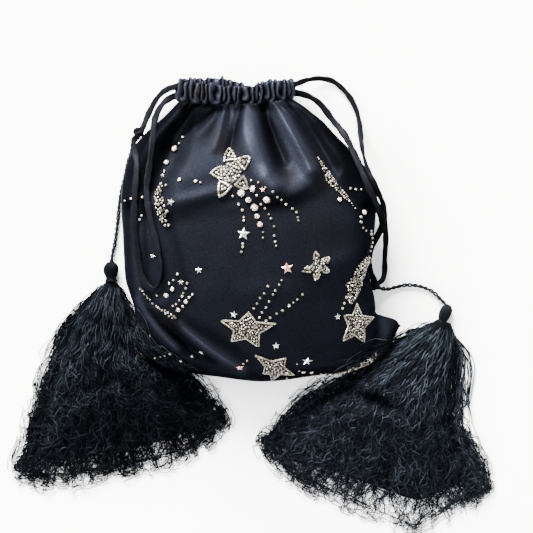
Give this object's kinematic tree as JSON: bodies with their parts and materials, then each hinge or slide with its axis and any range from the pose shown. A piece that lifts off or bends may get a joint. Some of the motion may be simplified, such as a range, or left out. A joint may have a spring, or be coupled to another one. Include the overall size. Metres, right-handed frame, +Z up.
{
  "type": "evening pouch",
  "caption": "Black satin evening pouch with a gathered drawstring mouth, beaded shooting stars, crystals and large thread tassels, lying on its back.",
  "frame": {"origin": "on the flat of the back that the pouch rests on, just above its middle", "axes": "+Z up out of the front, +Y towards the gathered mouth, +X to the right seen from the front"},
  "size_m": [0.3453, 0.3391, 0.0637],
  "materials": {
    "black_satin": "satin weave with a soft blue-grey sheen",
    "drawstring_satin": "narrow satin strings",
    "tassel_thread": "loose black thread with a faint gloss",
    "champagne_beads": "silver-lined glass beads",
    "clear_crystal": "cut stones in bright metal cups",
    "silver_metal": "polished metal, some of it rose"
  },
  "bodies": {
    "root": {"drawstring_casing": "black_satin", "drawstring_left": "drawstring_satin", "drawstring_left_loop": "drawstring_satin", "drawstring_right": "drawstring_satin", "drawstring_right_inner": "drawstring_satin", "knot_left": "drawstring_satin", "knot_right": "drawstring_satin", "metal_star_01": "silver_metal", "metal_star_02": "silver_metal", "metal_star_03": "silver_metal", "metal_star_04": "silver_metal", "metal_star_05": "silver_metal", "metal_star_06": "silver_metal", "metal_star_07": "silver_metal", "metal_star_08": "silver_metal", "metal_star_09": "silver_metal", "metal_star_10": "silver_metal", "metal_star_11": "silver_metal", "metal_star_12": "silver_metal", "metal_star_13": "silver_metal", "metal_star_14": "silver_metal", "metal_star_15": "silver_metal", "pouch_body": "black_satin", "star_comet": "champagne_beads", "star_great": "champagne_beads", "star_hem": "champagne_beads", "star_left_corner": "champagne_beads", "star_left_low": "champagne_beads", "star_left_side": "champagne_beads", "star_petal": "champagne_beads", "star_right": "champagne_beads", "star_right_shoulder": "champagne_beads", "star_right_side": "champagne_beads", "stone_01": "clear_crystal", "stone_02": "clear_crystal", "stone_03": "clear_crystal", "stone_04": "clear_crystal", "stone_05": "clear_crystal", "stone_06": "clear_crystal", "stone_07": "clear_crystal", "stone_08": "clear_crystal", "stone_09": "clear_crystal", "stone_10": "clear_crystal", "stone_11": "clear_crystal", "stone_12": "clear_crystal", "stone_13": "clear_crystal", "stone_14": "clear_crystal", "stone_15": "clear_crystal", "stone_16": "clear_crystal", "stone_17": "clear_crystal", "stone_18": "clear_crystal", "stone_19": "clear_crystal", "tassel_cord_left": "tassel_thread", "tassel_cord_right": "tassel_thread", "tassel_left": "tassel_thread", "tassel_right": "tassel_thread"}
  },
  "joints": []
}
